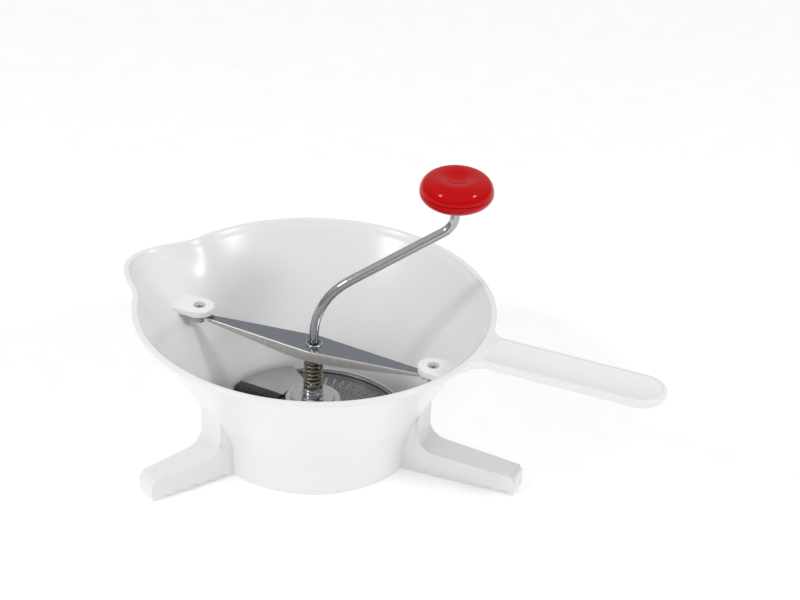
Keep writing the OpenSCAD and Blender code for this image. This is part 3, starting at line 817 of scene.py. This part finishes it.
@dataclass
class Crossbar:
    """Folded lozenge bar with side flanges and hooked ends. Millimetres."""

    top: float = 72.0
    half: float = 11.3
    flange: float = 7.6
    end: float = 78.0
    end_half: float = 3.0
    sheet: float = 1.2
    fold_r: float = 1.1
    middle_r: float = 24.0
    spans: int = 104

    def half_width(self, x: float) -> float:
        """Half the bar's width at a distance along it."""
        slope = math.atan2(self.half - self.end_half, self.end)
        flat = self.middle_r * math.sin(slope)
        if abs(x) < flat:
            return self.half - self.middle_r + math.sqrt(self.middle_r ** 2 - x ** 2)
        return self.end_half + (self.end - abs(x)) * math.tan(slope)

    def depth(self, x: float) -> float:
        """Depth of the side flanges at a distance along it."""
        return self.flange + (2.4 - self.flange) * max(0.0, abs(x) - 18) / (self.end - 18)

    def section(self, x: float, t: float) -> Point2:
        """Point across the folded sheet.

        Args:
            x: Distance along the bar.
            t: Place across the sheet, from -1 to 1.

        Returns:
            Sideways distance and height.
        """
        half, side = self.half_width(x), 1 if t >= 0 else -1
        reach = abs(t)
        flat, fold = 0.5, 0.8
        if reach <= flat:
            return side * (half - self.fold_r) * reach / flat, self.top
        if reach <= fold:
            a = math.radians(90 * (1 - (reach - flat) / (fold - flat)))
            return (side * (half - self.fold_r * (1 - math.cos(a))),
                    self.top - self.fold_r * (1 - math.sin(a)))
        run = (reach - fold) / (1 - fold)
        return side * half, self.top - self.fold_r - (self.depth(x) - self.fold_r) * run

    def build(self) -> None:
        """Folds the sheet and adds the hooked ends. The photo's two weld dimples are left out."""
        bm = bmesh.new()
        bmesh.ops.create_grid(bm, x_segments=self.spans, y_segments=20, size=1)
        for v in bm.verts:
            x = v.co.x * self.end
            y, z = self.section(x, v.co.y)
            v.co = Vector((x, y, z)) * MM
        for face in bm.faces:
            if face.calc_center_median().z > (self.top - 0.01) * MM and face.normal.z < 0:
                face.normal_flip()
        bmesh.ops.recalc_face_normals(bm, faces=bm.faces)
        if sum(f.normal.z for f in bm.faces) < 0:
            bmesh.ops.reverse_faces(bm, faces=bm.faces)
        bmesh.ops.solidify(bm, geom=bm.faces, thickness=self.sheet * MM)
        for side in (1, -1):
            self.hook(bm, side)
        bm.normal_update()
        # Faces that look up get the darker steel, a painted dark reflection; the side flanges get the paler
        # steel, painted light
        for face in bm.faces:
            face.material_index = 0 if abs(face.normal.z) > 0.75 else 1
        looks = [BAR_STEEL_PAINTED_DARK_REFLECTION.material(), BAR_FLANGE_PAINTED_LIGHT.material()]
        bar = finish(bm, "folded_crossbar", looks, 50)
        report(bar, "bar", "sheet_steel", "crossbar")

    def hook(self, bm: BMesh, side: int) -> None:
        """Flat hooked end whose slot takes the lug's screw.

        Args:
            bm: The bar's mesh.
            side: 1 towards the handle, -1 towards the spout.
        """
        neck, wide, slot, centre, tip = 2.9, 6.4, 2.2, 85.4, 90.2
        start, heel = self.end - 3, centre - 5.2
        outline = [(start, -neck), (heel, -neck), (heel, -wide), (centre - slot, -wide)]
        outline += arc((centre, 0), slot, 180, 0, 10)
        outline += [(centre + slot, -wide), (tip, -wide), (tip, wide), (heel, wide), (heel, neck),
                    (start, neck)]
        turned = [(side * x, side * y) for x, y in outline]
        slab(bm, turned, self.top - self.sheet, self.top - 0.02, 0.2, 2)


# ---------------------------------------------------------------- spring and crank


@dataclass
class Spring:
    """Compression spring with closed ends. Millimetres."""

    outer: float = 13.4
    wire: float = 1.7
    low: float = 39.2
    high: float = 67.6
    coils: float = 7.5

    def build(self) -> None:
        """Winds the wire: a closed turn, the open turns, and a closed turn."""
        bm = bmesh.new()
        mean = (self.outer - self.wire) / 2 * MM
        wire = self.wire / 2 * MM
        start = bmesh.ops.create_circle(bm, segments=14, radius=wire, cap_ends=False,
                                        matrix=Matrix.Translation((mean, 0, self.low * MM + wire))
                                        @ Matrix.Rotation(math.pi / 2, 4, "X"))["verts"]
        edges = list({e for v in start for e in v.link_edges})
        first = edges
        rise = self.high - self.low - self.wire - 2 * self.wire
        for turns, climb in ((1.0, self.wire), (self.coils, rise), (1.0, self.wire)):
            steps = int(turns * 28)
            verts = list({v for e in edges for v in e.verts})
            last = bmesh.ops.spin(bm, geom=verts + edges, cent=(0, 0, 0), axis=(0, 0, 1),
                                  angle=turns * math.tau, steps=steps,
                                  dvec=(0, 0, climb * MM / steps))["geom_last"]
            edges = [e for e in last if isinstance(e, bmesh.types.BMEdge)]
        bmesh.ops.holes_fill(bm, edges=first + edges, sides=0)
        spring = finish(bm, "coil_spring", [TEMPERED_WIRE.material()], 60)
        report(spring, "spring_seat", "spring_steel", "spring")
        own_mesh(spring)


@dataclass
class Crank:
    """Bent rod from the sieve to the knob. Millimetres and degrees."""

    rod_r: float = 3.2
    bottom: float = 2.5
    bend1_z: float = 81.0
    bend1_r: float = 44.0
    bend2_r: float = 14.0
    reach: float = 90.0
    azimuth: float = 30.0
    rise: float = 30.0
    end_run: float = 21.2

    def build(self) -> None:
        """Bends the rod."""
        turn, rise = math.radians(90 - self.rise), math.radians(self.rise)
        start_x, start_z = self.bend1_r * (1 - math.cos(turn)), self.bend1_z + self.bend1_r * math.sin(turn)
        run = (self.reach - self.bend2_r * (1 - math.sin(rise)) - start_x) / math.cos(rise)
        top_z = start_z + run * math.sin(rise) + self.bend2_r * math.cos(rise)
        bm = bmesh.new()
        along = Vector((math.sin(turn), 0, math.cos(turn)))
        tube(bm, self.rod_r * MM, Vector((0, 0, self.bottom * MM)),
             [("run", Vector((0, 0, self.bend1_z - self.bottom)) * MM),
              ("bend", Vector((self.bend1_r, 0, self.bend1_z)) * MM, (0, 1, 0), turn, 0),
              ("run", along * run * MM),
              ("bend", Vector((self.reach - self.bend2_r, 0, top_z)) * MM, (0, 1, 0), -turn, 0),
              ("run", Vector((0, 0, self.end_run)) * MM)], 36)
        ends = [e for e in bm.edges if any(len(f.verts) > 8 for f in e.link_faces)]
        bmesh.ops.bevel(bm, geom=ends, offset=0.5 * MM, segments=2, affect="EDGES", profile=0.5, material=-1)
        swing(bm, self.azimuth)
        rod = finish(bm, "bent_crank_rod", [POLISHED_ROD.material()], 40)
        report(rod, "crank", "polished_steel", "crank_rod")


@dataclass
class Knob:
    """Red knob in two moulded halves that meet at a seam. Millimetres."""

    radius: float = 24.3
    foot_r: float = 9.0
    crest_r: float = 13.6
    dish: float = 3.4
    wall: float = 2.2
    bore_r: float = 3.25

    def build(self) -> None:
        """Turns both halves about the crank's end."""
        low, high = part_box("knob_base"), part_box("knob_cap")
        centre = tuple((high[0][i] + high[1][i]) / 2 / MM for i in (0, 1))
        foot, top = low[0][2] / MM, high[1][2] / MM
        seam = high[0][2] / MM
        base = [(self.bore_r, foot), (self.foot_r - 0.6, foot), (self.foot_r, foot + 0.15)]
        base += [(self.foot_r + (self.radius - self.foot_r) * math.sin(t), seam - 0.45 - (seam - 0.45 - foot)
                  * math.cos(t)) for t in (math.radians(90 * i / 20) for i in range(3, 20))]
        base += [(self.radius - 0.05, seam - 0.35), (self.radius - 0.5, seam - 0.12)]
        base += [(self.radius - self.wall, seam - 0.12), (self.radius - self.wall - 2, foot + 5),
                 (self.foot_r, foot + self.wall), (self.bore_r + 2.6, foot + self.wall),
                 (self.bore_r + 2.6, seam + 1.3), (self.bore_r, seam + 1.3)]
        rise = top - seam
        cap = [(self.radius - self.wall, seam), (self.radius - 0.5, seam), (self.radius - 0.05, seam + 0.25)]
        cap += [(self.crest_r + (self.radius - self.crest_r) * math.cos(t), seam + rise * math.sin(t))
                for t in (math.radians(90 * i / 24) for i in range(1, 24))]
        cap += [(self.crest_r * (1 - i / 16), top - self.dish * (1 + math.cos(math.pi * (1 - i / 16))) / 2)
                for i in range(16)]
        cap += [(0.01, top - self.dish), (0.01, top - self.dish - self.wall),
                (self.crest_r, top - self.wall - 0.4), (self.radius - self.wall - 1, seam + 5)]
        red = RED_POLYSTYRENE.material()
        for name, line, node in (("knob_lower_half", base, "knob_base"),
                                 ("knob_upper_half", cap, "knob_cap")):
            bm = bmesh.new()
            lathe(bm, line, 96, centre=centre)
            report(finish(bm, name, [red], 50), "knob", "red_plastic", node)


# ---------------------------------------------------------------- blade


@dataclass
class Blade:
    """Hub plate and two wings from one sheet, each rolled down to the sieve. Millimetres and degrees."""

    hub_z: float = 29.0
    hub_r: float = 18.5
    edge_r: float = 66.4
    edge_z: float = 13.2
    start: float = 127.0
    sheet: float = 1.0
    fold_out: Point2 = (-63.7, 19.4)
    fold_in: Point2 = (-20.5, -4.5)
    low_in: float = 9.9
    low_out: float = 11.5
    reach_in: float = 10.5
    reach_out: float = 9.0

    def height(self, r: float) -> float:
        """Height of the plate's top at a radius."""
        slope = (self.hub_z - self.edge_z) / (self.edge_r - self.hub_r)
        return self.hub_z - slope * max(0.0, r - self.hub_r)

    def plate_point(self, u: float, v: float) -> Vector:
        """Point on the flat part of a wing.

        Args:
            u: 0 at the hub to 1 at the outer edge.
            v: 0 at the trailing edge to 1 at the fold.

        Returns:
            The point in millimetres.
        """
        fold = [self.fold_in[i] + (self.fold_out[i] - self.fold_in[i]) * u for i in (0, 1)]
        fold_az = math.degrees(math.atan2(fold[1], fold[0])) % 360
        fold_r = math.hypot(*fold)
        edge_r = 12.0 + (self.edge_r - 12.0) * u
        r = edge_r + (fold_r - edge_r) * v
        a = math.radians(self.start + (fold_az - self.start) * v)
        return Vector((r * math.cos(a), r * math.sin(a), self.height(r)))

    def roll_point(self, u: float, v: float) -> Vector:
        """Point on the rolled part of a wing.

        Args:
            u: 0 at the hub end to 1 at the outer end.
            v: 0 at the fold to 1 at the lower edge.

        Returns:
            The point in millimetres.
        """
        crease = self.plate_point(u, 1)
        along = Vector((self.fold_in[0] - self.fold_out[0], self.fold_in[1] - self.fold_out[1])).normalized()
        away = Vector((along.y, -along.x))
        low = self.low_in + (self.low_out - self.low_in) * u
        reach = self.reach_in + (self.reach_out - self.reach_in) * u
        turn = math.radians(90 * v)
        bulge = math.sin(turn) * 0.75 + v * 0.25
        drop = (1 - math.cos(turn)) * 0.8 + v * 0.2
        shift = along * (4 * u - 3 * (1 - u)) * v
        return Vector((crease.x + away.x * reach * bulge + shift.x,
                       crease.y + away.y * reach * bulge + shift.y,
                       crease.z + (low - crease.z) * drop))

    def wing(self, bm: BMesh) -> None:
        """Bends one wing out of a flat sheet."""
        sheet = bmesh.new()
        bmesh.ops.create_grid(sheet, x_segments=24, y_segments=32, size=1)
        # Faces past the fold take the dark rolled steel, a painted reflection of the sieve and painted shade
        for face in sheet.faces:
            face.material_index = 1 if face.calc_center_median().y > 0.02 else 0
        for v in sheet.verts:
            u, w = (v.co.x + 1) / 2, v.co.y
            v.co = (self.plate_point(u, w + 1) if w <= 0 else self.roll_point(u, w)) * MM
        sheet.normal_update()
        if sum(f.normal.z for f in sheet.faces) < 0:
            bmesh.ops.reverse_faces(sheet, faces=sheet.faces)
        bmesh.ops.solidify(sheet, geom=sheet.faces, thickness=self.sheet * MM)
        absorb(bm, sheet)

    def build(self) -> None:
        """Builds both wings and the hub plate."""
        bm = bmesh.new()
        self.wing(bm)
        whole = bmesh.ops.duplicate(bm, geom=bm.verts[:] + bm.edges[:] + bm.faces[:])["geom"]
        bmesh.ops.rotate(bm, verts=[v for v in whole if isinstance(v, bmesh.types.BMVert)], cent=(0, 0, 0),
                         matrix=Matrix.Rotation(math.pi, 3, "Z"))
        hub = bmesh.new()
        lathe(hub, [(3.2, self.hub_z - self.sheet), (self.hub_r, self.hub_z - self.sheet),
                    (self.hub_r + 0.1, self.hub_z - 0.5), (self.hub_r - 0.1, self.hub_z),
                     (3.2, self.hub_z)], 72)
        absorb(bm, hub)
        # The rolled part's dark look is painted reflection and painted shade
        looks = [BRUSHED_BLADE_SHEET.material(), BLADE_ROLL_PAINTED_REFLECTION_AND_SHADE.material()]
        blade = finish(bm, "two_winged_blade", looks, 40)
        report(blade, "crank", "sheet_steel", "blade")


# ---------------------------------------------------------------- small metal pieces


@dataclass
class Hardware:
    """CAD pieces that keep their own shape and get a finish."""

    turned: tuple[str, ...] = ("hub_collar", "hub_flange", "shaft_bush")
    plain: tuple[str, ...] = ("left_lug_screw", "right_lug_screw", "left_lug_nut", "right_lug_nut", "hub_pin",
                              "upper_spring_washer", "lower_spring_washer", "blade_washer", "knob_washer")
    sprung: tuple[str, ...] = ("retaining_clip", "knob_push_nut")
    sheet: tuple[str, ...] = ("crossbar_stiffener",)

    def dress(self) -> None:
        """Gives each piece its material."""
        # The stiffener gets the bar's darker steel, a painted dark reflection
        for names, look in ((self.turned, TURNED_STEEL), (self.plain, PLAIN_FASTENER_STEEL),
                            (self.sprung, TEMPERED_WIRE), (self.sheet, BAR_STEEL_PAINTED_DARK_REFLECTION)):
            material = bpy.data.materials.get(look.name) or look.material()
            for name in names:
                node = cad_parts[name]
                node.data.materials.clear()
                node.data.materials.append(material)
                log.info("%s: CAD shape in %s", name, look.name)


# ---------------------------------------------------------------- studio


@dataclass
class Studio:
    """Pale floor, soft lights and the camera. Millimetres and degrees."""

    azimuth: float = 21.643
    elevation: float = 30.61
    roll: float = 2.653
    lens: float = 99.0
    eye: tuple[float, float, float] = (510.4, -1135.1, 844.3)

    def camera(self) -> None:
        """Sets the camera up and makes it the scene's."""
        a, e, r = (math.radians(x) for x in (self.azimuth, self.elevation, self.roll))
        back = Vector((math.sin(a) * math.cos(e), -math.cos(a) * math.cos(e), math.sin(e)))
        right = Vector((math.cos(a), math.sin(a), 0))
        up = back.cross(right)
        right_rolled = right * math.cos(r) + up * math.sin(r)
        up_rolled = up * math.cos(r) - right * math.sin(r)
        data = bpy.data.cameras.new("studio_camera")
        data.lens, data.sensor_width = self.lens, 36
        camera = bpy.data.objects.new("studio_camera", data)
        turn = Matrix((right_rolled, up_rolled, back)).transposed().to_4x4()
        camera.matrix_world = Matrix.Translation(Vector(self.eye) * MM) @ turn
        bpy.context.scene.collection.objects.link(camera)
        bpy.context.scene.camera = camera

    def light(self, name: str, place: Vector, target: Vector, size: float, power: float) -> None:
        """Adds a soft square light.

        Args:
            name: Its name.
            place: Where it stands, in metres.
            target: What it points at, in metres.
            size: Its side, in metres.
            power: Its power in watts.
        """
        data = bpy.data.lights.new(name, "AREA")
        data.size, data.energy = size, power
        lamp = bpy.data.objects.new(name, data)
        lamp.location = place
        lamp.rotation_euler = (target - place).to_track_quat("-Z", "Y").to_euler()
        bpy.context.scene.collection.objects.link(lamp)

    def build(self) -> None:
        """Builds the floor, the surroundings, the lights and the camera."""
        bm = bmesh.new()
        bmesh.ops.create_grid(bm, x_segments=4, y_segments=4, size=4)
        floor = finish(bm, "studio_floor", [STUDIO_PAPER.material()])
        world = bpy.data.worlds.new("studio")
        bpy.context.scene.world = world
        world.use_nodes = True
        tree = world.node_tree
        background = tree.nodes["Background"]
        background.inputs["Color"].default_value = (1, 1, 1, 1)
        sky = add_node(tree, "ShaderNodeSeparateXYZ",
                       links={"Vector": add_node(tree, "ShaderNodeTexCoord").outputs["Generated"]})
        glow = add_node(tree, "ShaderNodeMapRange", {"From Max": 0.6, "To Min": 0.3, "To Max": 0.73},
                        {"Value": sky.outputs["Z"]})
        tree.links.new(glow.outputs["Result"], background.inputs["Strength"])
        middle = Vector((0, 0, 0.06))
        self.light("right_softbox", Vector((1.15, 0.02, 1.05)), middle, 0.2, 3.9)
        self.light("left_softbox", Vector((-0.75, -1.05, 1.15)), middle, 0.28, 6.0)
        scene = bpy.context.scene
        scene.view_settings.view_transform = "Standard"
        self.camera()


def main() -> None:
    """Builds every piece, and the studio."""
    logging.basicConfig(level=logging.INFO, format="%(name)s: %(message)s")
    for piece in (Bowl(), Sieve(), Crossbar(), Spring(), Crank(), Knob(), Blade()):
        piece.build()
    Hardware().dress()
    Studio().build()


if __name__ == "__main__":
    main()
